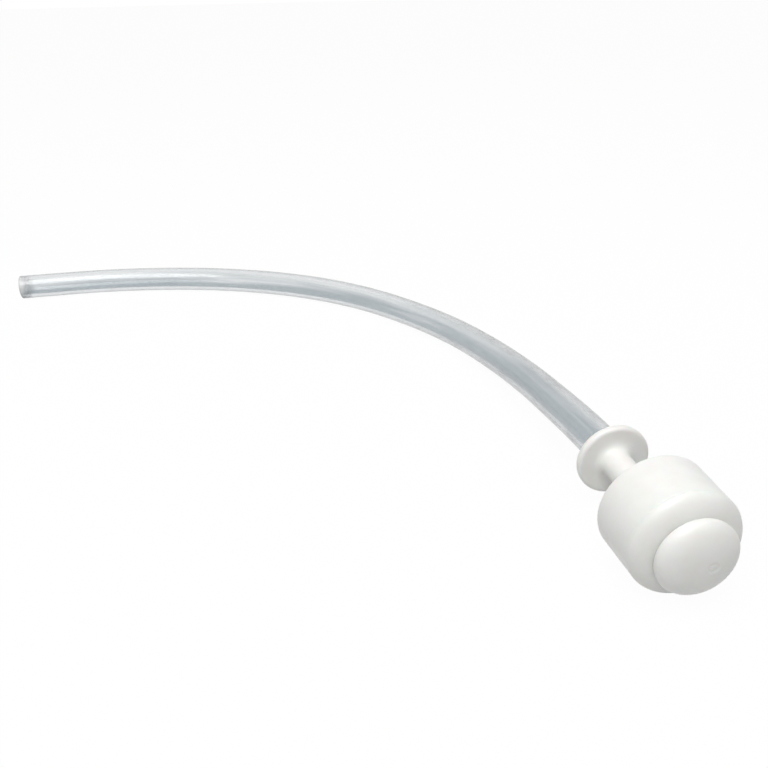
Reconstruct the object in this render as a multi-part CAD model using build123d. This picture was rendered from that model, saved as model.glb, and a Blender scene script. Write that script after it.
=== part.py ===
"""Saliva ejector tip: a clear suction tube with a white swivelling head.

Millimetres, +Z up. The origin is the centre of the tube's bare end face, where it plugs into the chairside
valve. The tube leaves the origin along +X, lies on the table while it bends round towards -Y, and rises at
the end to the axis of the head, which lies on its side on the same table.
"""
import os
from math import cos, radians, sin, tan

from build123d import *

# ---- suction tube ----
TUBE_OD = 6.5
TUBE_BORE = 4.5
FIRST_RUN = 30.5            # from the bare end to the first bend corner
BEND_RUN = 33.8             # between bend corners
LAST_RUN = 9.2              # from the last bend corner to the collar
BEND_TURNS = (15.0, 18.5, 22.0, 22.0, 9.5)      # degrees at each corner; the last corner takes the rest
TOTAL_TURN = 90.0
RISING_RUNS = 2             # bend runs over which the tube climbs to the head
BEND_SHARE = 0.45           # part of the shorter run that each bend's arc takes

# ---- stem: barb, collar, neck and journal ----
BARB_LENGTH = 2.4
BARB_DEPTH = 0.3
BARB_LAND = 0.6             # straight crest of the barb
COLLAR_OD = 12.1
COLLAR_T = 1.5
COLLAR_ROUND = 0.7
NECK_OD = 4.8
NECK_LENGTH = 12.35
NECK_ROUND = 1.5
JOURNAL_OD = 4.0
STEM_BORE = 2.6
STEM_LIP = 0.35             # stem left past the clip groove

# ---- swivel hardware ----
WASHER_OD = 7.6
WASHER_T = 0.4
CLIP_OD = 6.8
CLIP_T = 0.5
CLIP_GROOVE = 0.3           # depth of the groove in the journal
CLIP_MOUTH = 2.0            # open side of the C

# ---- barrel ----
BARREL_OD = 17.4            # at the front
BARREL_DRAFT = 0.45         # lost on the diameter towards the back
BARREL_WALL = 1.0           # at the back, where it is thinnest
FRONT_WALL = 1.6
FRONT_ROUND = 0.3

# ---- non-return valve ----
STEM_END_GAP = 0.35         # free space between the stem's end and the cage
CAGE_FLOOR = 0.8
INSERT_WALL = 0.7           # rim of the cage and skirt of the rear cover
POST_D = 1.0
POST_COUNT = 4
WINDOW_WIDTH = 2.0
WINDOW_ARC = 56.0           # degrees that each window covers
DISC_OD = 8.4
DISC_T = 0.6
DISC_TRAVEL = 0.7
SEAT_T = 0.8
SEAT_BORE = 5.2
LIP_WIDTH = 0.5
LIP_HEIGHT = 0.3

# ---- strainer ----
STRAINER_T = 0.3
STRAINER_HOLE = 0.7
STRAINER_PITCH = 1.2
STRAINER_RINGS = 3

# ---- rear cover, grip ring and end cap ----
SKIRT_LENGTH = 2.0
DOME_RISE = 2.1             # from the barrel's end to the dome's flat top
DOME_DROP = 3.6             # fall of the dome's radius over its rise
COVER_WALL = 1.2
SOCKET_WALL = 1.5
SOCKET_REACH = 0.9          # socket past the barrel's end, into the barrel
RING_SECTION = 0.8
CAP_OD = 12.1
CAP_T = 3.2
CAP_FACE_T = 1.5            # in the middle, over the core
CAP_CROWN_RISE = 2.3        # domed face of the cap, along the axis
CAP_CROWN_DROP = 5.6        # and across it
CAP_BACK_ROUND = 0.8
INLET_SLIT = 0.35           # open height between the cap and the rear cover
LEG_OD = 7.9
LEG_WALL = 0.85
LEG_REACH = 0.4             # legs past the socket's inner end
LEG_COUNT = 4
LEG_ARC = 50.0              # degrees that each leg covers
LEG_SHOULDER = 0.6          # step outside each leg that rests on the rear cover

# ---- clearances ----
TUBE_FIT = 0.02             # barb crest in the tube's bore, radial
RUNNING_FIT = 0.05          # turning and sliding pieces, radial
AXIAL_PLAY = 0.05
INSERT_FIT = 0.02           # pieces pressed into the barrel, radial
POST_GAP = 0.25             # disc to guide posts, radial
RING_FIT = 0.02             # grip ring in its groove
LEG_PLAY = 0.15             # cap's legs in the rear cover's socket, radial

# ---- stations along the head's axis, from the collar's tube side ----
SHOULDER = COLLAR_T + NECK_LENGTH
BARREL_FRONT = SHOULDER + AXIAL_PLAY
FRONT_INSIDE = BARREL_FRONT + FRONT_WALL
WASHER_AT = FRONT_INSIDE + AXIAL_PLAY
CLIP_AT = WASHER_AT + WASHER_T
STEM_END = CLIP_AT + CLIP_T + STEM_LIP
CAGE_AT = STEM_END + STEM_END_GAP
CHAMBER_AT = CAGE_AT + CAGE_FLOOR
DISC_OPEN_AT = CHAMBER_AT + AXIAL_PLAY
DISC_AT = DISC_OPEN_AT + DISC_TRAVEL
LIP_AT = DISC_AT + DISC_T + AXIAL_PLAY
SEAT_AT = LIP_AT + LIP_HEIGHT
STRAINER_AT = SEAT_AT + SEAT_T
SKIRT_AT = STRAINER_AT + STRAINER_T
BARREL_REAR = SKIRT_AT + SKIRT_LENGTH
SOCKET_AT = BARREL_REAR - SOCKET_REACH
DOME_TOP = BARREL_REAR + DOME_RISE
CAP_AT = DOME_TOP + INLET_SLIT
HEAD_END = CAP_AT + CAP_T

# ---- radii that follow ----
BARREL_REAR_R = (BARREL_OD - BARREL_DRAFT) / 2
BARREL_BORE_R = BARREL_REAR_R - BARREL_WALL
INSERT_R = BARREL_BORE_R - INSERT_FIT
INSERT_INNER_R = INSERT_R - INSERT_WALL
DISC_R = DISC_OD / 2
POST_CIRCLE_R = DISC_R + POST_GAP + POST_D / 2
LEG_R = LEG_OD / 2
SOCKET_BORE_R = LEG_R + LEG_PLAY
SOCKET_R = SOCKET_BORE_R + SOCKET_WALL


def route():
    """Corners of the tube's centre line: level from the bare end, then climbing to the head's axis."""
    turns = list(BEND_TURNS)
    turns.append(TOTAL_TURN - sum(turns))
    runs = [FIRST_RUN] + [BEND_RUN] * len(BEND_TURNS) + [LAST_RUN]
    climb = (BARREL_OD - TUBE_OD) / 2 / RISING_RUNS
    heading = 0.0
    points = [Vector(0, 0, 0)]
    for index, run in enumerate(runs):
        rising = len(BEND_TURNS) - RISING_RUNS < index <= len(BEND_TURNS)
        step = Vector(run * cos(heading), run * sin(heading), climb if rising else 0)
        points.append(points[-1] + step)
        if index < len(turns):
            heading -= radians(turns[index])
    return points


def bend_radii(points):
    """Radius of each bend: its arc takes a fixed share of the shorter run beside the corner."""
    radii = []
    for before, corner, after in zip(points, points[1:], points[2:]):
        run_in = corner - before
        run_out = after - corner
        tangent = BEND_SHARE * min(run_in.length, run_out.length)
        radii.append(tangent / tan(radians(run_in.get_angle(run_out)) / 2))
    return radii


ROUTE = route()
# the head's own frame: its z runs from the collar to the end cap, along -Y
HEAD = Plane(origin=ROUTE[-1], x_dir=(1, 0, 0), z_dir=(0, -1, 0))


def disc(radius, start, end):
    """Solid disc on the head's axis between two stations."""
    upright = (Align.CENTER, Align.CENTER, Align.MIN)
    return Pos(0, 0, start) * Cylinder(radius, end - start, align=upright)


def ring(outer, inner, start, end):
    """Disc with a round hole."""
    return disc(outer, start, end) - disc(inner, start, end)


def dome(radius, drop, start, rise):
    """Solid that narrows in a quarter ellipse from a radius to a flat top."""
    top = start + rise
    curve = EllipticalCenterArc((radius - drop, start), drop, rise, start_angle=0, arc_size=90)
    rest = Polyline((radius - drop, top), (0, top), (0, start), (radius, start))
    return revolve(make_face(Plane.XZ * (curve + rest)), axis=Axis.Z)


def arc_block(outer, inner, start, end, degrees, centre):
    """Part of a ring that covers some degrees about a centre direction."""
    profile = Polyline((inner, start), (outer, start), (outer, end), (inner, end), close=True)
    half = make_face(Plane.XZ * profile)
    return Rot(0, 0, centre - degrees / 2) * revolve(half, axis=Axis.Z, revolution_arc=degrees)


def rim(solid, radius, station):
    """Circular edges of a head piece at one radius and station."""
    circles = solid.edges().filter_by(GeomType.CIRCLE)
    return [e for e in circles if abs(e.radius - radius) < 1e-4 and abs(e.arc_center.Z - station) < 1e-4]


def suction_tube():
    """Round tube swept along straight runs joined by tangent arcs."""
    path = FilletPolyline(*ROUTE, radius=bend_radii(ROUTE))
    section = Circle(TUBE_OD / 2) - Circle(TUBE_BORE / 2)
    return sweep(Plane(origin=ROUTE[0], x_dir=(0, 1, 0), z_dir=(1, 0, 0)) * section, path=path)


def stem():
    """Barb, collar, neck and journal in one moulding, bored through."""
    crest = TUBE_BORE / 2 - TUBE_FIT
    root = crest - BARB_DEPTH
    slope = BARB_LENGTH / 2
    body = disc(root, -BARB_LENGTH, 0)
    body += Pos(0, 0, slope / 2 - BARB_LENGTH) * Cone(root, crest, slope)
    body += disc(crest, slope - BARB_LENGTH, slope - BARB_LENGTH + BARB_LAND)
    collar = disc(COLLAR_OD / 2, 0, COLLAR_T)
    edges = rim(collar, COLLAR_OD / 2, 0) + rim(collar, COLLAR_OD / 2, COLLAR_T)
    body += fillet(edges, min(COLLAR_ROUND, 0.45 * COLLAR_T))
    body += disc(NECK_OD / 2, COLLAR_T, SHOULDER)
    body = fillet(rim(body, NECK_OD / 2, COLLAR_T), NECK_ROUND)
    body += disc(JOURNAL_OD / 2, SHOULDER, STEM_END)
    groove = ring(JOURNAL_OD / 2, JOURNAL_OD / 2 - CLIP_GROOVE, CLIP_AT, CLIP_AT + CLIP_T)
    return body - groove - disc(STEM_BORE / 2, -BARB_LENGTH, STEM_END)


def swivel_washer():
    """Flat seal that the clip holds near the barrel's front wall."""
    return ring(WASHER_OD / 2, JOURNAL_OD / 2 + RUNNING_FIT, WASHER_AT, WASHER_AT + WASHER_T)


def retaining_clip():
    """C clip in the journal's groove."""
    clip = ring(CLIP_OD / 2, JOURNAL_OD / 2 - CLIP_GROOVE, CLIP_AT, CLIP_AT + CLIP_T)
    mouth = Box(CLIP_MOUTH, CLIP_OD / 2, CLIP_T, align=(Align.CENTER, Align.MIN, Align.MIN))
    return clip - Pos(0, 0, CLIP_AT) * mouth


def barrel():
    """Tapered housing whose front wall turns on the journal, open at the back for the inner pieces."""
    length = BARREL_REAR - BARREL_FRONT
    body = Pos(0, 0, BARREL_FRONT + length / 2) * Cone(BARREL_OD / 2, BARREL_REAR_R, length)
    body = fillet(rim(body, BARREL_OD / 2, BARREL_FRONT), FRONT_ROUND)
    body -= disc(BARREL_BORE_R, FRONT_INSIDE, BARREL_REAR)
    return body - disc(JOURNAL_OD / 2 + RUNNING_FIT, BARREL_FRONT, FRONT_INSIDE)


def valve_cage():
    """Floor with arc windows, guide posts and a rim that spaces the seat."""
    body = disc(INSERT_R, CAGE_AT, SEAT_AT) - disc(INSERT_INNER_R, CHAMBER_AT, SEAT_AT)
    window_r = DISC_R + POST_GAP
    for index in range(POST_COUNT):
        centre = index * 360 / POST_COUNT
        post = disc(POST_D / 2, CHAMBER_AT, SEAT_AT - AXIAL_PLAY)
        body += Rot(0, 0, centre) * Pos(POST_CIRCLE_R, 0, 0) * post
        between = centre + 180 / POST_COUNT
        body -= arc_block(window_r + WINDOW_WIDTH, window_r, CAGE_AT, CHAMBER_AT, WINDOW_ARC, between)
    return body


def valve_disc():
    """Loose disc, drawn shut against the seat's lip."""
    return disc(DISC_R, DISC_AT, DISC_AT + DISC_T)


def valve_seat():
    """Plate with an orifice and a raised lip towards the disc."""
    plate = ring(INSERT_R, SEAT_BORE / 2, SEAT_AT, STRAINER_AT)
    return plate + ring(SEAT_BORE / 2 + LIP_WIDTH, SEAT_BORE / 2, LIP_AT, SEAT_AT)


def strainer():
    """Perforated disc with rings of round holes."""
    body = disc(INSERT_R, STRAINER_AT, SKIRT_AT)
    hole = disc(STRAINER_HOLE / 2, STRAINER_AT, SKIRT_AT)
    holes = [hole]
    for ring_number in range(1, STRAINER_RINGS + 1):
        count = 6 * ring_number
        holes += [
            Rot(0, 0, index * 360 / count) * Pos(ring_number * STRAINER_PITCH, 0, 0) * hole
            for index in range(count)
        ]
    return body - holes


def grip_ring_centre():
    """Station and radius of the grip ring's section: its inside just clears the cap's legs."""
    return (SOCKET_AT + DOME_TOP) / 2, LEG_R + RUNNING_FIT + RING_SECTION / 2


def rear_cover():
    """Domed back with the cap's socket, a groove for the grip ring and a skirt that holds the strainer."""
    body = dome(BARREL_REAR_R, DOME_DROP, BARREL_REAR, DOME_RISE)
    body -= dome(INSERT_INNER_R, INSERT_INNER_R - SOCKET_R, BARREL_REAR, DOME_RISE - COVER_WALL)
    body += ring(INSERT_R, INSERT_INNER_R, SKIRT_AT, BARREL_REAR)
    body += disc(SOCKET_R, SOCKET_AT, DOME_TOP - COVER_WALL)
    body -= disc(SOCKET_BORE_R, SOCKET_AT, DOME_TOP)
    station, radius = grip_ring_centre()
    half = RING_SECTION / 2 + RING_FIT
    return body - ring(radius + half, SOCKET_BORE_R - AXIAL_PLAY, station - half, station + half)


def cap_grip_ring():
    """Round rubber ring."""
    station, radius = grip_ring_centre()
    return Pos(0, 0, station) * Torus(radius, RING_SECTION / 2)


def end_cap():
    """Closed cap, cored out, on legs with shoulders that keep the inlet slit open."""
    edge_at = HEAD_END - CAP_CROWN_RISE
    body = disc(CAP_OD / 2, CAP_AT, edge_at)
    body = fillet(rim(body, CAP_OD / 2, CAP_AT), CAP_BACK_ROUND)
    body += dome(CAP_OD / 2, CAP_CROWN_DROP, edge_at, CAP_CROWN_RISE)
    body -= disc(LEG_R - LEG_WALL, CAP_AT, HEAD_END - CAP_FACE_T)
    shoulder_r = SOCKET_BORE_R + LEG_SHOULDER
    for index in range(LEG_COUNT):
        centre = index * 360 / LEG_COUNT
        body += arc_block(LEG_R, LEG_R - LEG_WALL, SOCKET_AT - LEG_REACH, CAP_AT, LEG_ARC, centre)
        body += arc_block(shoulder_r, LEG_R - LEG_WALL, DOME_TOP, CAP_AT, LEG_ARC, centre)
    return body


HEAD_PIECES = (
    stem,
    swivel_washer,
    retaining_clip,
    barrel,
    valve_cage,
    valve_disc,
    valve_seat,
    strainer,
    rear_cover,
    cap_grip_ring,
    end_cap,
)

os.makedirs("parts", exist_ok=True)
export_step(suction_tube(), "parts/suction_tube.step")
for piece in HEAD_PIECES:
    export_step(HEAD.location * piece(), f"parts/{piece.__name__}.step")

print("head origin", ROUTE[-1])
print("bend radii", [round(radius, 1) for radius in bend_radii(ROUTE)])
print("straight at the bare end", FIRST_RUN - BEND_SHARE * min(FIRST_RUN, BEND_RUN))
print("barrel length", BARREL_REAR - BARREL_FRONT, "head length", HEAD_END)
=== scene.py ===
from math import radians

import bmesh
import bpy
import numpy as np
from mathutils import Matrix, Vector


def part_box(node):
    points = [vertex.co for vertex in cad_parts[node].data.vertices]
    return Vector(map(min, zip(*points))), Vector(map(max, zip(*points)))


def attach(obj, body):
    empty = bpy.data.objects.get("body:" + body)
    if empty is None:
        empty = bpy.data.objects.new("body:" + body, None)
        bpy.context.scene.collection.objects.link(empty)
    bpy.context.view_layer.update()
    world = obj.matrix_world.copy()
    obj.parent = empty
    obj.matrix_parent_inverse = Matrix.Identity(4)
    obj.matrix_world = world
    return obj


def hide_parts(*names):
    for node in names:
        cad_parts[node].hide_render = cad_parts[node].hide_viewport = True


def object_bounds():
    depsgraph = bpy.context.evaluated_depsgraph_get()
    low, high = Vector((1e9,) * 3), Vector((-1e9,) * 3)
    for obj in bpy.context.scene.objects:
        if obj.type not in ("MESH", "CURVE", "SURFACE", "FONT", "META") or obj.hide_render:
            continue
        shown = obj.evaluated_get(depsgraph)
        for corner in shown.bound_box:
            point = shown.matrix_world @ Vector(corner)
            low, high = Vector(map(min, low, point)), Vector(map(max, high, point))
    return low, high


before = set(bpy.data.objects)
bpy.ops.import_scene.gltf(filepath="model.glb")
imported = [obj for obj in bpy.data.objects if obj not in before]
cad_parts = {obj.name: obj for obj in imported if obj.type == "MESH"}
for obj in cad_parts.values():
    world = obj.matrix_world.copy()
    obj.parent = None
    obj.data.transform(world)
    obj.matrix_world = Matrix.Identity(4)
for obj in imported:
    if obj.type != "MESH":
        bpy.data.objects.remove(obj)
solid_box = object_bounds()

# ---------------------------------------------------------------------------------------------
# Suction tube: clear flexible PVC, extruded as one round tube with a 1 mm wall, cut off square,
# and set by warmth into a bend that lies flat and climbs a little to the head.
TUBE_WALL = 0.001
CUT_EDGE = 0.00012                  # rounding that the knife leaves on both edges of a cut end
ROUND_ROWS = 4                      # rows of points over a rounding
BESIDE_A_CUT = 3                    # the next row stands this many roundings away
FIRST_RUN = 0.0305                  # bare end to the first corner of the bend
BEND_RUN = 0.0338                   # between corners
LAST_RUN = 0.0092                   # last corner to the collar
TURNS = (15.0, 18.5, 22.0, 22.0, 9.5, 3.0)   # degrees at each corner
RISING_RUNS = (4, 5)                # runs over which the tube climbs to the head
TUBE_SIDES = 112
STEPS_IN_A_BEND = 26

tube_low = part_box("suction_tube")[0]
stem_low, stem_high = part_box("stem")
tube_radius = -tube_low.z
head_height = (stem_low.z + stem_high.z) / 2


def bend_corners():
    """Corners of the tube's centre line: each run goes on from the last one, and the heading turns
    by one angle at each corner."""
    runs = np.array([FIRST_RUN] + [BEND_RUN] * (len(TURNS) - 1) + [LAST_RUN])
    heading = -np.radians(np.concatenate([[0.0], np.cumsum(TURNS)]))
    rise = np.isin(np.arange(len(runs)), RISING_RUNS) * head_height / len(RISING_RUNS)
    steps = np.stack([runs * np.cos(heading), runs * np.sin(heading), rise], axis=1)
    return np.concatenate([np.zeros((1, 3)), np.cumsum(steps, axis=0)])


def centre_line(corners, steps):
    """Smooth line through the middles of the runs: round corner B, from middle A to middle C, it is
    the parabola (1-u)^2 A + 2u(1-u) B + u^2 C, and its heading is (1-u)(B-A) + u(C-B)."""
    middle = (corners[1:] + corners[:-1]) / 2
    a, b, c = middle[:-1, None], corners[1:-1, None], middle[1:, None]
    u = np.linspace(0, 1, steps, endpoint=False)[None, :, None]
    points = ((1 - u) ** 2 * a + 2 * u * (1 - u) * b + u**2 * c).reshape(-1, 3)
    headings = ((1 - u) * (b - a) + u * (c - b)).reshape(-1, 3)
    points = np.concatenate([corners[:1], points, middle[-1:], corners[-1:]])
    headings = np.concatenate([corners[1:2] - corners[:1], headings, [corners[-1] - corners[-2]] * 2])
    return points, headings / np.linalg.norm(headings, axis=1, keepdims=True)


def skin(name, grid, rows_meet=True):
    """Mesh over a grid of points. Columns go round and meet, and so do the rows if rows_meet; a row
    that has shrunk to a point becomes one vertex."""
    rows, columns = grid.shape[:2]
    index = np.arange(rows * columns).reshape(rows, columns)
    here, beyond = (index, np.roll(index, -1, axis=0)) if rows_meet else (index[:-1], index[1:])
    faces = np.stack([here, np.roll(here, -1, 1), np.roll(beyond, -1, 1), beyond], axis=-1)
    mesh = bpy.data.meshes.new(name)
    mesh.from_pydata(grid.reshape(-1, 3).tolist(), [], faces.reshape(-1, 4).tolist())
    work = bmesh.new()
    work.from_mesh(mesh)
    bmesh.ops.remove_doubles(work, verts=work.verts, dist=1e-7)
    bmesh.ops.recalc_face_normals(work, faces=work.faces)
    work.to_mesh(mesh)
    work.free()
    mesh.polygons.foreach_set("use_smooth", np.ones(len(mesh.polygons), bool))
    piece = bpy.data.objects.new(name, mesh)
    bpy.context.scene.collection.objects.link(piece)
    return piece


def cut_tube(points, headings, outer, inner, edge):
    """The wall as one closed skin: the outside along the line, the cut face at its far end, the bore
    back along the line and the other cut face. A row is centre + r cos(angle) sideways + r sin(angle)
    upwards. A cut's edges are quarter rounds, in by edge (1 - sin(u)) and narrower by
    edge (1 - cos(u)), with one more row on each side, so that the wall beside them shades flat. It
    also returns each point's place in the same tube laid out straight."""
    run = np.concatenate([[0], np.cumsum(np.linalg.norm(np.diff(points, axis=0), axis=1))])
    inside = slice(1, -1)
    u = np.linspace(0, np.pi / 2, ROUND_ROWS)
    tuck = edge * np.concatenate([[BESIDE_A_CUT], 1 - np.sin(u), [0]])
    shrink = edge * np.concatenate([[0], 1 - np.cos(u), [BESIDE_A_CUT]])
    out_of_face = np.stack([tuck[::-1], outer - shrink[::-1]], axis=1)
    into_face = np.stack([tuck, inner + shrink], axis=1)

    def end_rows(profile, at, sign):
        inwards = sign * profile[:, :1]
        heading = np.repeat(headings[at][None], len(profile), 0)
        return points[at] + inwards * headings[at], heading, run[at] + inwards[:, 0], profile[:, 1]

    parts = [
        end_rows(into_face, 0, 1),
        end_rows(out_of_face, 0, 1),
        (points[inside], headings[inside], run[inside], np.full(len(points) - 2, outer)),
        end_rows(out_of_face[::-1], -1, -1),
        end_rows(into_face[::-1], -1, -1),
        (points[inside][::-1], headings[inside][::-1], run[inside][::-1], np.full(len(points) - 2, inner)),
    ]
    centre, heading, along, radius = (np.concatenate(p) for p in zip(*parts))
    sideways = np.cross([0, 0, 1], heading)
    sideways /= np.linalg.norm(sideways, axis=1, keepdims=True)
    upwards = np.cross(heading, sideways)
    angle = np.linspace(0, 2 * np.pi, TUBE_SIDES, endpoint=False)
    across, high = radius[:, None] * np.cos(angle), radius[:, None] * np.sin(angle)
    grid = centre[:, None] + across[..., None] * sideways[:, None] + high[..., None] * upwards[:, None]
    straight = np.stack([np.broadcast_to(along[:, None], across.shape), across, high], axis=-1)
    return grid, straight


line, headings = centre_line(bend_corners(), STEPS_IN_A_BEND)
wall, straight = cut_tube(line, headings, tube_radius, tube_radius - TUBE_WALL, CUT_EDGE)
tube = skin("clear_tube", wall)
laid_out = tube.data.attributes.new("laid_out", "FLOAT_VECTOR", "POINT")
laid_out.data.foreach_set("vector", straight.reshape(-1).astype(np.float32))


def finish(name, colour, roughness, **shader):
    """A material whose shader has these fixed values on its own sockets."""
    material = bpy.data.materials.new(name)
    material.use_nodes = True
    principled = material.node_tree.nodes["Principled BSDF"]
    principled.inputs["Base Color"].default_value = (*colour, 1.0)
    principled.inputs["Roughness"].default_value = roughness
    for socket, value in shader.items():
        principled.inputs[socket.replace("_", " ")].default_value = value
    return material, material.node_tree, principled


def node(tree, kind, inputs, **settings):
    """A new shader node with these settings. Each input that is given follows another node's
    output, or holds a value of its own."""
    new = tree.nodes.new("ShaderNode" + kind)
    for name, value in settings.items():
        setattr(new, name, value)
    for socket, feed in inputs.items():
        if isinstance(feed, bpy.types.NodeSocket):
            tree.links.new(feed, new.inputs[socket])
        else:
            new.inputs[socket].default_value = feed
    return new


def noise(tree, place, stretch, detail=3.0):
    """Noise over a place, with its features 1 / stretch long along each axis."""
    stretched = node(tree, "Mapping", {"Vector": place, "Scale": stretch}).outputs["Vector"]
    return node(tree, "TexNoise", {"Vector": stretched, "Scale": 1.0, "Detail": detail}).outputs["Fac"]


def shade(tree, pattern, socket, stops):
    """A socket follows a pattern through stops of (pattern, colour or number)."""
    ramp = node(tree, "ValToRGB", {"Fac": pattern})
    while len(ramp.color_ramp.elements) < len(stops):
        ramp.color_ramp.elements.new(0.5)
    for element, (position, value) in zip(ramp.color_ramp.elements, stops):
        element.position = position
        element.color = (*value, 1.0) if isinstance(value, tuple) else (value, value, value, 1.0)
    tree.links.new(ramp.outputs["Color"], socket)


def emboss(tree, shader, patterns):
    """Stacks bumps of (pattern, height in metres, strength) on a shader's surface."""
    below = {}
    for pattern, height, strength in patterns:
        bump = node(tree, "Bump", {"Height": pattern, "Distance": height, "Strength": strength, **below})
        below = {"Normal": bump.outputs["Normal"]}
    tree.links.new(below["Normal"], shader.inputs["Normal"])


UPPER_BACK = (0.0, 0.47, 0.88)      # direction across the tube laid out straight, to the side with painted light
FRONT_PAINTED_SHADE = 0.42                  # painted shade: the bore is darker on the opposite side, its lower front
HEAD_DARKENING = 0.17                   # and it is darker towards the head, between these distances along it
HEAD_DARKENING_FROM, HEAD_DARKENING_TO = 0.11, 0.17
DULL_END, DULL_END_CLEAR = 0.003, 0.4          # the bare end is dull over its last millimetres

clear_pvc, tree, shader = finish("clear_pvc", (0.69, 0.715, 0.73), 0.04, Transmission_Weight=1.0, IOR=1.53)
flow = node(tree, "Attribute", {}, attribute_name="laid_out").outputs["Vector"]
along = node(tree, "SeparateXYZ", {"Vector": flow}).outputs["X"]

# The bore's tint: random streaks along it, over a sheet of metres along the tube and of -1 to 1
# across it, and painted shade that fades from the lower front to the upper back, standing in for
# the tube's shadow seen through it and the light above it. It is also darker towards the head.
leaning = [part / tube_radius for part in UPPER_BACK]
lean = node(tree, "VectorMath", {0: flow, 1: leaning}, operation="DOT_PRODUCT").outputs["Value"]
sheet = node(tree, "CombineXYZ", {"X": along, "Y": lean}).outputs["Vector"]
streaks = noise(tree, sheet, (22.0, 2.6, 0.0))
# the tint grows darker towards the head, between these distances along it
headward = node(tree, "MapRange", {
    "Value": along, "From Min": HEAD_DARKENING_FROM, "From Max": HEAD_DARKENING_TO, "To Max": -HEAD_DARKENING,
}).outputs["Result"]
drift = node(tree, "Math", {0: streaks, 1: headward}, operation="ADD").outputs["Value"]
# painted shade and light: the lean darkens the bore's lower front and lightens its upper back
streaks_and_painted_shade = node(tree, "Math", {0: lean, 1: FRONT_PAINTED_SHADE, 2: drift}, operation="MULTIPLY_ADD").outputs["Value"]

# The wall's tint: the streaks and painted shade at the bore, and a greyer rim where the outside turns
# away, partly the longer path through the skin and partly painted shade for darker surroundings seen
# at the edges. The mix of colours has them on its sockets 6 and 7, and its result on output 2.
across = [0.0, 1.0 / tube_radius, 1.0 / tube_radius]
off_centre = node(tree, "VectorMath", {0: flow, 1: across}, operation="MULTIPLY").outputs["Vector"]
outward = node(tree, "VectorMath", {0: off_centre}, operation="LENGTH").outputs["Value"]
# painted shade, partly: the outside greys where it turns away, for darker surroundings seen at the edges
# and the longer path through the skin
rim = node(tree, "LayerWeight", {"Blend": 0.5}).outputs["Facing"]
tint = node(tree, "Mix", {}, data_type="RGBA")
shade(tree, outward, tint.inputs["Factor"], [(0.75, 0.0), (0.90, 1.0)])
# painted shade: the darkest stops give the bore's lower front the tube's shadow
shade(tree, streaks_and_painted_shade, tint.inputs[6], [
    (0.28, (0.46, 0.51, 0.54)),
    (0.44, (0.53, 0.575, 0.60)),
    (0.57, (0.79, 0.81, 0.82)),
    (0.72, (0.98, 0.98, 0.98)),
])
shade(tree, rim, tint.inputs[7], [(0.45, 0.88), (0.60, 0.60), (0.80, 0.55)])
tree.links.new(tint.outputs[2], shader.inputs["Base Color"])

scuffs = noise(tree, flow, (260.0, 700.0, 700.0), 5.0)
shade(tree, scuffs, shader.inputs["Roughness"], [(0.40, 0.09), (0.75, 0.20)])
emboss(tree, shader, [(streaks, 0.00004, 0.3), (scuffs, 0.000004, 0.2)])
clearness = node(tree, "MapRange", {"Value": along, "From Max": DULL_END, "To Min": DULL_END_CLEAR})
tree.links.new(clearness.outputs["Result"], shader.inputs["Transmission Weight"])
depth = node(tree, "VolumeAbsorption", {"Color": (0.66, 0.74, 0.78, 1.0), "Density": 120.0})
tree.links.new(depth.outputs["Volume"], tree.nodes["Material Output"].inputs["Volume"])
tube.data.materials.append(clear_pvc)
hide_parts("suction_tube")
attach(tube, "tube_side")

# ---------------------------------------------------------------------------------------------
# Stem: one white polypropylene moulding, bored through. Its short barb is pushed and bonded into
# the tube up to the thick round collar, and the barrel turns on the journal past the thin neck.
BARB_CREST, BARB_ROOT, BARB_LAND = 0.00223, 0.00193, 0.0006
STEM_BORE = 0.0013
COLLAR_THICK, COLLAR_RADIUS, COLLAR_ROUND = 0.0015, 0.00605, 0.00068
NECK_RADIUS, NECK_FILLET, NECK_ROUND = 0.0024, 0.0015, 0.00015
JOURNAL_RADIUS = 0.0020
JOURNAL_PLAY = 0.00005              # between the journal and what turns on it
CLIP_GROOVE, CLIP_THICK = 0.0003, 0.0005
SHARP = 0.00004                     # rounding of an edge that the mould leaves sharp
BLUNT = 0.0001                      # and of one that it leaves a little blunt
HEAD_SIDES = 224
FACE_STEP = 0.0003                  # between rows where a face is wide

barrel_low, barrel_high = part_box("barrel")
clip_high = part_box("retaining_clip")[1]
collar_back = tube_low.y            # the collar's side towards the tube, at the tube's end
head_x = (stem_low.x + stem_high.x) / 2
barb_start = collar_back - stem_high.y
journal_end = collar_back - stem_low.y
barrel_front = collar_back - barrel_high.y
barrel_rear = collar_back - barrel_low.y
clip_start = collar_back - clip_high.y
neck_end = barrel_front - JOURNAL_PLAY


def section(corners, loop=True, steps=7):
    """Section of a turned piece from corners (station, radius, rounding): each becomes the parabola
    corner + (1-u)^2 rounding towards the last one + u^2 rounding towards the next. An open section
    keeps its two ends."""
    corners = np.array(corners, float)
    spot, rounding = corners[:, :2], corners[:, 2]
    back = np.roll(spot, 1, axis=0) - spot
    on = np.roll(spot, -1, axis=0) - spot
    back /= np.linalg.norm(back, axis=1, keepdims=True)
    on /= np.linalg.norm(on, axis=1, keepdims=True)
    u = np.linspace(0, 1, steps)[None, :, None]
    curve = spot[:, None] + rounding[:, None, None] * ((1 - u) ** 2 * back[:, None] + u**2 * on[:, None])
    if loop:
        return curve.reshape(-1, 2)
    return np.concatenate([spot[:1], curve[1:-1].reshape(-1, 2), spot[-1:]])


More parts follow.
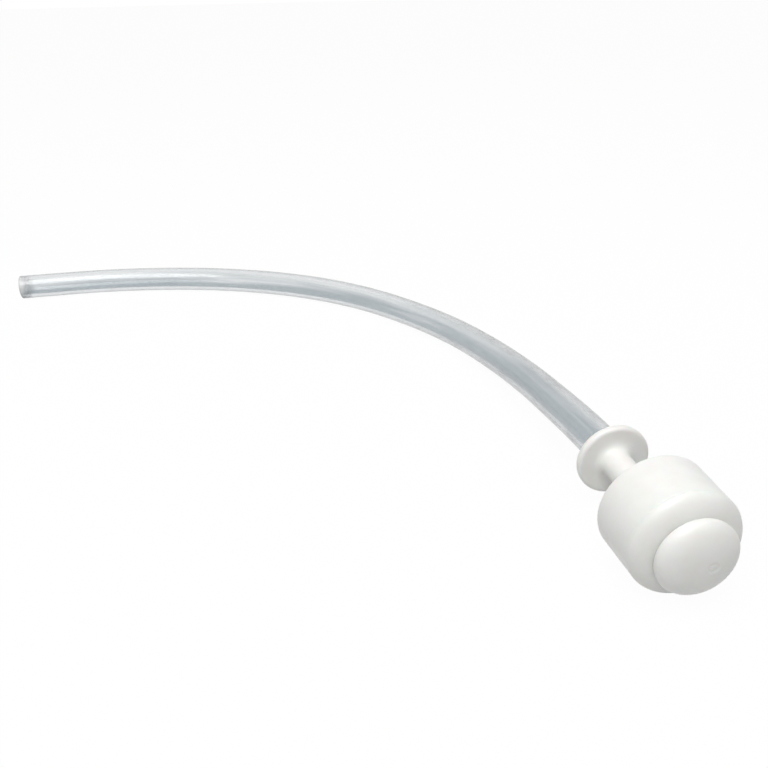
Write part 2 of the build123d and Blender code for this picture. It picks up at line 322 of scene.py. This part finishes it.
def turned(profile, sides=HEAD_SIDES):
    """Points of a turned piece, with rows added where a section's points stand far apart: a point
    (station, radius) stands at the collar's back minus station along Y, and at its radius at every
    angle round the head's axis."""
    run = np.concatenate([[0], np.cumsum(np.linalg.norm(np.diff(profile, axis=0), axis=1))])
    far = np.flatnonzero(np.diff(run) > FACE_STEP)
    added = [np.arange(run[i] + FACE_STEP, run[i + 1] - FACE_STEP / 3, FACE_STEP) for i in far]
    rows = np.sort(np.concatenate([run] + added))
    station = np.interp(rows, run, profile[:, 0])[:, None]
    radius = np.interp(rows, run, profile[:, 1])[:, None]
    angle = np.linspace(0, 2 * np.pi, sides, endpoint=False)
    x = head_x + radius * np.cos(angle)
    z = head_height + radius * np.sin(angle)
    y = np.broadcast_to(collar_back - station, x.shape)
    return np.stack([x, y, z], axis=-1)


stem = skin("swivel_stem", turned(section([
    (barb_start, STEM_BORE, SHARP),
    (barb_start, BARB_ROOT, SHARP),
    (barb_start / 2, BARB_CREST, BLUNT),
    (barb_start / 2 + BARB_LAND, BARB_CREST, SHARP),
    (barb_start / 2 + BARB_LAND, BARB_ROOT, SHARP),
    (0.0, BARB_ROOT, SHARP),
    (0.0, COLLAR_RADIUS, COLLAR_ROUND),
    (COLLAR_THICK, COLLAR_RADIUS, COLLAR_ROUND),
    (COLLAR_THICK, NECK_RADIUS, NECK_FILLET),
    (neck_end, NECK_RADIUS, NECK_ROUND),
    (neck_end, JOURNAL_RADIUS, SHARP),
    (clip_start, JOURNAL_RADIUS, SHARP),
    (clip_start, JOURNAL_RADIUS - CLIP_GROOVE, SHARP),
    (clip_start + CLIP_THICK, JOURNAL_RADIUS - CLIP_GROOVE, SHARP),
    (clip_start + CLIP_THICK, JOURNAL_RADIUS, SHARP),
    (journal_end, JOURNAL_RADIUS, BLUNT),
    (journal_end, STEM_BORE, SHARP),
])))

white_moulding, tree, shader = finish(
    "white_moulding", (0.88, 0.88, 0.85), 0.34, IOR=1.49, Subsurface_Weight=0.15, Subsurface_Scale=0.001
)
place = node(tree, "TexCoord", {}).outputs["Object"]
clouds = noise(tree, place, (320.0, 320.0, 320.0), 2.0)
shade(tree, clouds, shader.inputs["Base Color"], [
    (0.35, (0.865, 0.865, 0.832)), (0.50, (0.88, 0.88, 0.852)), (0.65, (0.893, 0.893, 0.87)),
])
scuffs = noise(tree, place, (900.0, 240.0, 900.0), 3.0)
shade(tree, scuffs, shader.inputs["Roughness"], [(0.30, 0.30), (0.55, 0.36), (0.80, 0.44)])
grain = noise(tree, place, (5200.0, 5200.0, 5200.0), 4.0)
emboss(tree, shader, [(clouds, 0.00006, 0.2), (scuffs, 0.000006, 0.2), (grain, 0.000005, 0.35)])
stem.data.materials.append(white_moulding)
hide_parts("stem")
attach(stem, "tube_side")

# ---------------------------------------------------------------------------------------------
# Barrel: white moulding, open at the back for the valve, with a front wall that turns on the
# journal. It narrows backwards by the mould's draft, and four ejector pins have marked its front.
BARREL_RADIUS, BARREL_REAR_RADIUS = 0.0087, 0.008475
BARREL_BORE_RADIUS = 0.007475
BARREL_FRONT_ROUND, BORE_ROUND = 0.0004, 0.0003
FRONT_WALL = 0.0016
SEAM_ROUND = 0.00012                # edge of the seam between barrel and cover
PIN_RADIUS, PIN_DEPTH = 0.0007, 0.00005
PIN_CIRCLE = 0.0058                 # pins stand on this radius


def pressed_in(points, x, z, face, radius, depth, soft=0.00012, reach=0.0002):
    """Points within reach of the plane y = face sink along Y by depth within a radius of (x, z). The
    wall of the dent is a cosine from full depth to none."""
    away = np.hypot(points[..., 0] - x, points[..., 2] - z)
    part = (1 + np.cos(np.pi * np.clip((away - radius + soft) / soft, 0, 1))) / 2
    part = np.where(np.abs(points[..., 1] - face) < reach, part, 0)
    return points + part[..., None] * np.array([0, depth, 0])


body = turned(section([
    (barrel_front, JOURNAL_RADIUS + JOURNAL_PLAY, SHARP),
    (barrel_front, BARREL_RADIUS, BARREL_FRONT_ROUND),
    (barrel_rear, BARREL_REAR_RADIUS, SEAM_ROUND),
    (barrel_rear, BARREL_BORE_RADIUS, SHARP),
    (barrel_front + FRONT_WALL, BARREL_BORE_RADIUS, BORE_ROUND),
    (barrel_front + FRONT_WALL, JOURNAL_RADIUS + JOURNAL_PLAY, SHARP),
]))
for quarter in np.radians([45, 135, 225, 315]):
    pin_x, pin_z = head_x + PIN_CIRCLE * np.cos(quarter), head_height + PIN_CIRCLE * np.sin(quarter)
    body = pressed_in(body, pin_x, pin_z, collar_back - barrel_front, PIN_RADIUS, -PIN_DEPTH)
barrel = skin("head_barrel", body)
barrel.data.materials.append(white_moulding)
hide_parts("barrel")
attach(barrel, "head")

# ---------------------------------------------------------------------------------------------
# Swivel washer, valve disc and the cap's grip ring: grey silicone rubber, punched or moulded,
# slightly see-through and dusty to the touch. They keep their solid shapes.
silicone, tree, shader = finish(
    "silicone", (0.72, 0.74, 0.72), 0.55, IOR=1.41, Subsurface_Weight=0.3, Subsurface_Scale=0.001
)
place = node(tree, "TexCoord", {}).outputs["Object"]
dust = noise(tree, place, (1400.0, 1400.0, 1400.0), 5.0)
shade(tree, dust, shader.inputs["Base Color"], [(0.40, (0.69, 0.715, 0.695)), (0.68, (0.76, 0.775, 0.76))])
shade(tree, dust, shader.inputs["Roughness"], [(0.40, 0.45), (0.70, 0.68)])
emboss(tree, shader, [(dust, 0.00001, 0.4)])

# ---------------------------------------------------------------------------------------------
# Retaining clip and strainer: stainless steel, stamped from sheet and tumbled, so their faces
# have the fine straight lines of rolling and a soft scratch here and there.
steel, tree, shader = finish("steel", (0.66, 0.67, 0.68), 0.28, Metallic=1.0)
place = node(tree, "TexCoord", {}).outputs["Object"]
rolling = noise(tree, place, (260.0, 9000.0, 9000.0), 4.0)
scratches = noise(tree, place, (6000.0, 6000.0, 500.0), 5.0)
shade(tree, rolling, shader.inputs["Base Color"], [(0.35, (0.62, 0.63, 0.64)), (0.68, (0.70, 0.71, 0.72))])
shade(tree, scratches, shader.inputs["Roughness"], [(0.40, 0.20), (0.70, 0.42)])
emboss(tree, shader, [(rolling, 0.000003, 0.5), (scratches, 0.000003, 0.4)])

# ---------------------------------------------------------------------------------------------
# Valve cage and seat: natural polypropylene, moulded with a plain satin surface, milky where it
# is thin. They stay as the solids, inside the barrel.
inner_moulding, tree, shader = finish(
    "inner_moulding", (0.86, 0.86, 0.82), 0.45, IOR=1.49, Subsurface_Weight=0.3, Subsurface_Scale=0.0015
)
place = node(tree, "TexCoord", {}).outputs["Object"]
milk = noise(tree, place, (500.0, 500.0, 500.0), 2.0)
satin = noise(tree, place, (4200.0, 4200.0, 4200.0), 5.0)
shade(tree, milk, shader.inputs["Base Color"], [(0.38, (0.83, 0.832, 0.785)), (0.66, (0.88, 0.88, 0.85))])
shade(tree, satin, shader.inputs["Roughness"], [(0.38, 0.40), (0.68, 0.56)])
emboss(tree, shader, [(milk, 0.00004, 0.3), (satin, 0.000008, 0.5)])
for inner_piece, material in {
    "swivel_washer": silicone,
    "valve_disc": silicone,
    "cap_grip_ring": silicone,
    "retaining_clip": steel,
    "strainer": steel,
    "valve_cage": inner_moulding,
    "valve_seat": inner_moulding,
}.items():
    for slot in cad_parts[inner_piece].material_slots:
        slot.material = material

# ---------------------------------------------------------------------------------------------
# Rear cover: white moulding, pressed into the barrel by its skirt. Its dome falls from the barrel's
# edge to the cap's socket, which has a groove for the grip ring.
COVER_RADIUS, SKIRT_RADIUS = 0.007455, 0.006755
DOME_DROP = 0.0036
DOME_FLAT = 0.0001                  # the flat inside the dome's top starts this far in
COVER_WALL = 0.0012
SOCKET_OUTER, SOCKET_RADIUS, SOCKET_ROUND = 0.0056, 0.0041, 0.00012
SOCKET_REACH = 0.0009
RING_ROOM_RADIUS, RING_ROOM = 0.00482, 0.00042     # bottom and half width of the ring's groove

cover_low, cover_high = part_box("rear_cover")
ring_low, ring_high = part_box("cap_grip_ring")
skirt_start = collar_back - cover_high.y
dome_top = collar_back - cover_low.y
ring_at = collar_back - (ring_low.y + ring_high.y) / 2


def crown(start, end, radius, drop, steps=22):
    """Part of a section from (start, radius) to (end, radius - drop) on a quarter ellipse: station is
    start + (end - start) sin(t), and the radius falls by drop (1 - cos(t))."""
    t = np.linspace(0, np.pi / 2, steps)
    return np.stack([start + (end - start) * np.sin(t), radius - drop * (1 - np.cos(t))], axis=1)


inner_top = dome_top - COVER_WALL
seam_rows = 4                       # of the dome, which the seam's rounding takes up
cover = skin("domed_cover", turned(np.concatenate([
    section([
        (barrel_rear, SKIRT_RADIUS, 0.0),
        (skirt_start, SKIRT_RADIUS, SHARP),
        (skirt_start, COVER_RADIUS, SHARP),
        (barrel_rear, COVER_RADIUS, SHARP),
        (barrel_rear, BARREL_REAR_RADIUS, SEAM_ROUND),
        (barrel_rear + 2 * SEAM_ROUND, BARREL_REAR_RADIUS, 0.0),
    ], loop=False),
    crown(barrel_rear, dome_top, BARREL_REAR_RADIUS, DOME_DROP)[seam_rows:],
    section([
        (dome_top, BARREL_REAR_RADIUS - DOME_DROP - DOME_FLAT, 0.0),
        (dome_top, SOCKET_RADIUS, SOCKET_ROUND),
        (ring_at + RING_ROOM, SOCKET_RADIUS, SHARP),
        (ring_at + RING_ROOM, RING_ROOM_RADIUS, SHARP),
        (ring_at - RING_ROOM, RING_ROOM_RADIUS, SHARP),
        (ring_at - RING_ROOM, SOCKET_RADIUS, SHARP),
        (barrel_rear - SOCKET_REACH, SOCKET_RADIUS, SHARP),
        (barrel_rear - SOCKET_REACH, SOCKET_OUTER, SHARP),
        (barrel_rear, SOCKET_OUTER, 0.0),
    ], loop=False),
    crown(barrel_rear, inner_top, SKIRT_RADIUS, SKIRT_RADIUS - SOCKET_OUTER, 8)[::-1],
])))
cover.data.materials.append(white_moulding)
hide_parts("rear_cover")
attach(cover, "head")

# ---------------------------------------------------------------------------------------------
# End cap: white moulding like a button, cored out behind, with the gate's mark on its face.
# It pulls off on four legs, whose shoulders keep the inlet slit open.
CAP_RADIUS, CAP_THICK = 0.00605, 0.0032
CAP_CROWN_RISE, CAP_CROWN_DROP = 0.0023, 0.0056
CAP_FACE_THICK = 0.0015
CAP_BACK_ROUND = 0.0008
LEG_RADIUS, LEG_WALL = 0.00395, 0.00085
LEG_ARC = 50.0                      # degrees that a leg covers
LEG_TIP_ROUND, LEG_SIDE_ROUND = 0.00025, 0.00015
LEG_ROOT = 0.0001                   # depth of the legs' roots in the cap
SHOULDER_RADIUS = 0.0047
GATE_RIGHT, GATE_DOWN = 0.0010, 0.0002     # from the middle of the face
GATE_RADIUS = 0.00045
GATE_DISH, GATE_STUB = 0.00008, 0.00006    # depth of the mark, and height of what is left in it

cap_low, cap_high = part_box("end_cap")
legs_start = collar_back - cap_high.y
cap_end = collar_back - cap_low.y
cap_back = cap_end - CAP_THICK
core_radius = LEG_RADIUS - LEG_WALL
button = turned(np.concatenate([
    section([
        (cap_end - CAP_FACE_THICK, 0.0, 0.0),
        (cap_end - CAP_FACE_THICK, core_radius, BLUNT),
        (cap_back, core_radius, SHARP),
        (cap_back, CAP_RADIUS, CAP_BACK_ROUND),
        (cap_end - CAP_CROWN_RISE, CAP_RADIUS, 0.0),
    ], loop=False),
    crown(cap_end - CAP_CROWN_RISE, cap_end, CAP_RADIUS, CAP_CROWN_DROP)[1:],
    [(cap_end, 0.0)],
]))
gate_x, gate_z = head_x + GATE_RIGHT, head_height - GATE_DOWN
button = pressed_in(button, gate_x, gate_z, cap_low.y, 2 * GATE_RADIUS, GATE_DISH)
button = pressed_in(button, gate_x, gate_z, cap_low.y, GATE_RADIUS, -GATE_STUB)
cap = skin("end_cap_button", button, rows_meet=False)
cap.data.materials.append(white_moulding)
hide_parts("end_cap")
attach(cap, "cap")


def leg(centre, rounding=LEG_SIDE_ROUND, steps=14):
    """Points of a leg: its section carried through an arc about a direction. Near both ends the
    section shrinks towards its middle by rounding (1 - sin(u)) while the arc goes on by
    rounding (1 - cos(u)), and last it shrinks to a point."""
    shape = section([
        (legs_start, core_radius, BLUNT),
        (legs_start, LEG_RADIUS, LEG_TIP_ROUND),
        (dome_top, LEG_RADIUS, SHARP),
        (dome_top, SHOULDER_RADIUS, SHARP),
        (cap_back + LEG_ROOT, SHOULDER_RADIUS, SHARP),
        (cap_back + LEG_ROOT, core_radius, SHARP),
    ], steps=4)
    middle = np.array([cap_back - LEG_ROOT, LEG_RADIUS - LEG_WALL / 2])
    half = np.radians(LEG_ARC / 2)
    u = np.linspace(0, np.pi / 2, ROUND_ROWS)
    ends = rounding / LEG_RADIUS * (1 - np.cos(u[::-1]))
    between = np.linspace(-half, half, steps)[1:-1]
    angle = np.concatenate([[-half], -half + ends[::-1], between, half - ends, [half]])
    shrink = rounding * (1 - np.sin(u))
    inset = np.concatenate([[np.inf], shrink, np.zeros(steps - 2), shrink[::-1], [np.inf]])
    arm = middle - shape
    reach = np.linalg.norm(arm, axis=1, keepdims=True)
    spot = shape[None] + arm[None] * np.minimum(inset[:, None, None] / reach[None], 1)
    turn = np.radians(centre) + angle[:, None]
    x = head_x + spot[..., 1] * np.cos(turn)
    z = head_height + spot[..., 1] * np.sin(turn)
    return np.stack([x, collar_back - spot[..., 0], z], axis=-1)


for number, centre in enumerate([0, 90, 180, 270], start=1):
    prong = skin(f"cap_leg_{number}", leg(centre), rows_meet=False)
    prong.data.materials.append(white_moulding)
    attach(prong, "cap")

# ---------------------------------------------------------------------------------------------
# Studio: a white table that runs out of sight, a white room, and two wide lamps, one high up at
# the front left and a weaker one straight above.
TABLE_SIDE, TABLE_MIDDLE = 30.0, (0.06, -0.08)
TABLE_SHADE = (0.55, 0.55, 0.55, 1)         # what soft light finds there
TABLE_GLOW, GLOW_SHARE = 1.02, 0.95         # and what is seen of it: white, with some of the shadow
WHITE = (1, 1, 1, 1)
ROOM_LIGHT, BACKDROP_LIGHT = 0.25, 1.0
LAMP_WIDTH = 0.5
LAMPS = {"front_left": (2.55, (-0.08, -0.34, 0.535)), "overhead": (1.05, (0.08, -0.08, 0.60))}
LAMPS_AIM = Vector((0.10, -0.10, 0.0))


def seen_straight(tree):
    """1 for what the camera sees, directly or through gloss and clear things, and 0 for soft light."""
    ray = node(tree, "LightPath", {})
    either = ray.outputs["Is Camera Ray"]
    for way in ("Is Glossy Ray", "Is Transmission Ray"):
        either = node(tree, "Math", {0: either, 1: ray.outputs[way]}, operation="MAXIMUM").outputs["Value"]
    return either


def blended(tree, share, unseen, seen):
    """Surface of one shader for soft light and of another, by its share, for what is seen."""
    return node(tree, "MixShader", {"Fac": share, 1: unseen, 2: seen}).outputs["Shader"]


bpy.ops.mesh.primitive_plane_add(size=TABLE_SIDE, location=(*TABLE_MIDDLE, solid_box[0].z))
table = bpy.context.object
table.name = "table"
paper = bpy.data.materials.new("table_paper")
paper.use_nodes = True
tree = paper.node_tree
tree.nodes.clear()
matt = node(tree, "BsdfDiffuse", {"Color": TABLE_SHADE}).outputs["BSDF"]
glow = node(tree, "Emission", {"Strength": TABLE_GLOW}).outputs["Emission"]
share = node(tree, "Math", {0: seen_straight(tree), 1: GLOW_SHARE}, operation="MULTIPLY").outputs["Value"]
node(tree, "OutputMaterial", {"Surface": blended(tree, share, matt, glow)})
table.data.materials.append(paper)

world = bpy.data.worlds.new("white_room")
bpy.context.scene.world = world
world.use_nodes = True
tree = world.node_tree
tree.nodes.clear()
room = node(tree, "Background", {"Color": WHITE, "Strength": ROOM_LIGHT}).outputs["Background"]
backdrop = node(tree, "Background", {"Color": WHITE, "Strength": BACKDROP_LIGHT}).outputs["Background"]
node(tree, "OutputWorld", {"Surface": blended(tree, seen_straight(tree), room, backdrop)})

for name, (power, spot) in LAMPS.items():
    light = bpy.data.lights.new(name, "AREA")
    light.shape = "DISK"
    light.size = LAMP_WIDTH
    light.energy = power
    lamp = bpy.data.objects.new(name, light)
    lamp.location = spot
    lamp.rotation_euler = (LAMPS_AIM - lamp.location).to_track_quat("-Z", "Y").to_euler()
    bpy.context.scene.collection.objects.link(lamp)

# ---------------------------------------------------------------------------------------------
# Camera: at the front left of the head, a hand's breadth above the table, looking down across
# the bend.
CAMERA_PLACE = (0.06442, -0.23111, 0.07353)
CAMERA_TURN, CAMERA_DIP, CAMERA_ROLL = -10.19, 26.5, -1.39     # degrees
SENSOR_WIDTH, LENS = 36.0, 36.56                               # millimetres
NEAREST = 0.005

camera_data = bpy.data.cameras.new("camera")
camera_data.sensor_width = SENSOR_WIDTH
camera_data.lens = LENS
camera_data.clip_start = NEAREST
camera = bpy.data.objects.new("camera", camera_data)
camera.matrix_world = (
    Matrix.Translation(CAMERA_PLACE)
    @ Matrix.Rotation(radians(CAMERA_TURN), 4, "Z")
    @ Matrix.Rotation(radians(90 - CAMERA_DIP), 4, "X")
    @ Matrix.Rotation(radians(CAMERA_ROLL), 4, "Z")
)
bpy.context.scene.collection.objects.link(camera)
bpy.context.scene.camera = camera
bpy.context.scene.view_settings.view_transform = "Standard"
